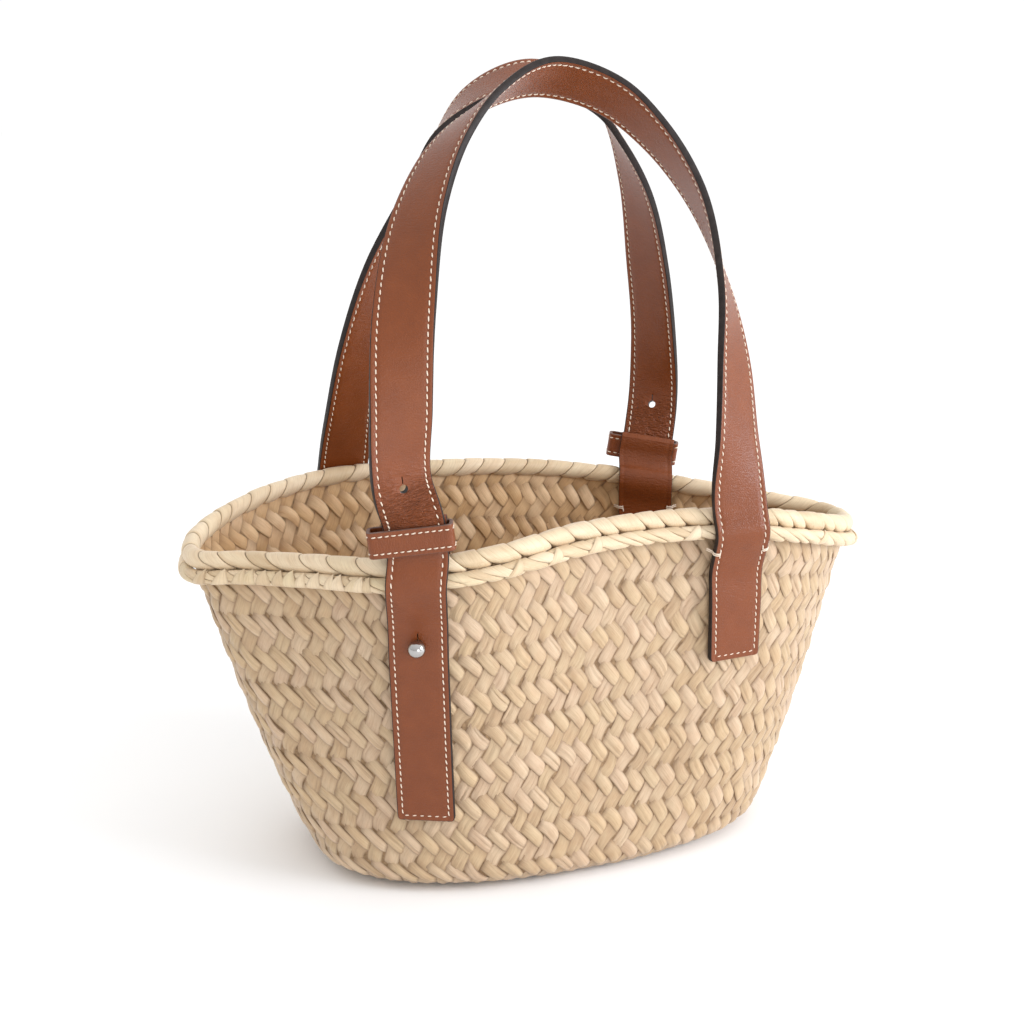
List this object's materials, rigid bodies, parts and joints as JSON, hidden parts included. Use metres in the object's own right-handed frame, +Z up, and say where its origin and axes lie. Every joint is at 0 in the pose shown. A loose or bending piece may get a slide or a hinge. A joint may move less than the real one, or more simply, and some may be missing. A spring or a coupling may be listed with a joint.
{
  "type": "straw basket bag",
  "caption": "Woven palm-leaf basket bag with a wavy rolled rim and two tan leather handles that run through keepers, fasten on ball studs and hang in twisted arches.",
  "frame": {"origin": "centre of the basket's flat base, on the surface that it stands on", "axes": "+X along the long mouth, towards the right end as seen from the front; +Y towards the back; +Z up"},
  "size_m": [0.4124, 0.203, 0.4522],
  "materials": {
    "woven_straw": "dry, matt palm-leaf strips, light straw with darker gaps",
    "wrapped_straw": "dry, matt palm-leaf strips wound round a core",
    "tan_leather": "smooth tan leather with a low sheen, dark painted edges and cream stitches",
    "polished_steel": "polished"
  },
  "bodies": {
    "root": {"basket_body": "woven_straw", "rim_roll": "wrapped_straw", "rim_cord": "wrapped_straw", "front_strap": "tan_leather", "front_tab": "tan_leather", "front_keeper": "tan_leather", "front_stud": "polished_steel", "back_strap": "tan_leather", "back_tab": "tan_leather", "back_keeper": "tan_leather", "back_stud": "polished_steel"}
  },
  "joints": []
}
